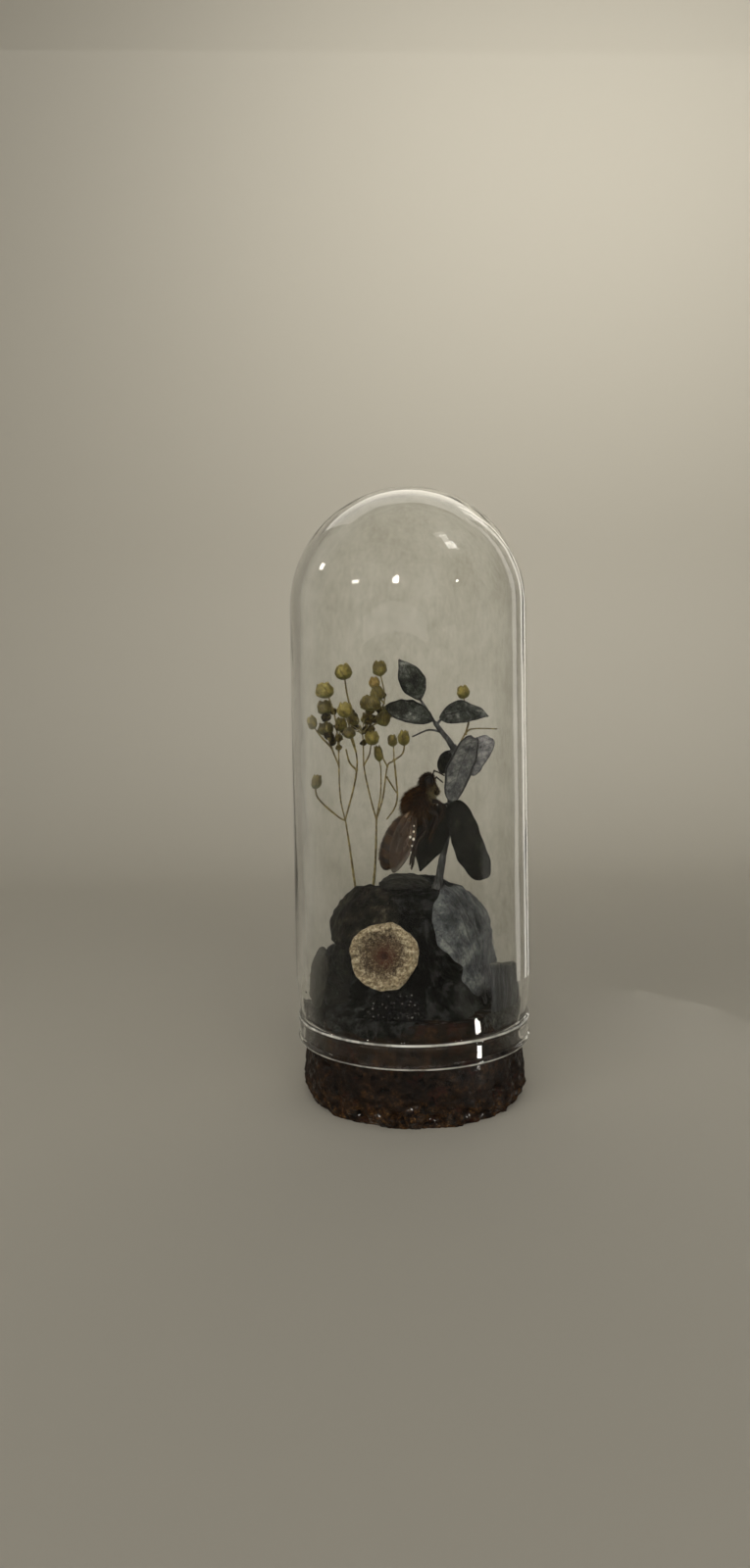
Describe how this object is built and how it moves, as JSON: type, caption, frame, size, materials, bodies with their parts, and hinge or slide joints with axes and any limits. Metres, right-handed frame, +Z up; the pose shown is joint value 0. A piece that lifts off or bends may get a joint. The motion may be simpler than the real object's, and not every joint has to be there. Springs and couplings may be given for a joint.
{
  "type": "insect in glass dome",
  "caption": "Small round-topped glass dome on a cork stopper, holding a dried bee on a leafy twig, dried flower sprigs, a pale fungus cap and a dark moss mound.",
  "frame": {"origin": "centre of the cork's flat bottom", "axes": "+Z up through the top of the dome; the bee and the fungus cap are seen from -Y"},
  "size_m": [0.03, 0.03, 0.0763],
  "materials": {
    "clear_glass": "clear and polished",
    "cork": "dark stained cork, matte with glossy specks",
    "dark_moss": "matte dried moss",
    "slate_petal": "dull, slightly waxy",
    "black_leaf": "dull, leathery",
    "bark": "rough",
    "pale_fungus": "matte, speckled",
    "twig": "matte dry stem",
    "grey_leaf": "matte dry leaf",
    "flower": "matte dry flower",
    "bee": "hairy thorax, satin abdomen"
  },
  "bodies": {
    "root": {"glass_dome": "clear_glass", "cork_stopper": "cork", "moss_mound": "dark_moss", "lichen_curls": "dark_moss", "petal_left": "slate_petal", "petal_low_left": "slate_petal", "petal_right": "slate_petal", "petal_back": "slate_petal", "petal_top": "black_leaf", "bark_chip": "bark", "fungus_cap": "pale_fungus", "twig_stem": "twig", "twig_left_branch": "twig", "twig_right_branch": "flower", "leaf_top": "grey_leaf", "leaf_left": "grey_leaf", "leaf_right": "grey_leaf", "leaf_folded": "grey_leaf", "leaf_pale": "grey_leaf", "leaf_round": "black_leaf", "leaf_low_right": "black_leaf", "leaf_low_left": "black_leaf", "left_sprig_stem": "flower", "left_sprig_outer_branch": "flower", "left_sprig_middle_branch": "flower", "left_sprig_right_branch": "flower", "middle_sprig_stem": "flower", "middle_sprig_left_branch": "flower", "middle_sprig_thin_branch": "flower", "middle_sprig_right_branch": "flower", "bee": "bee"}
  },
  "joints": []
}
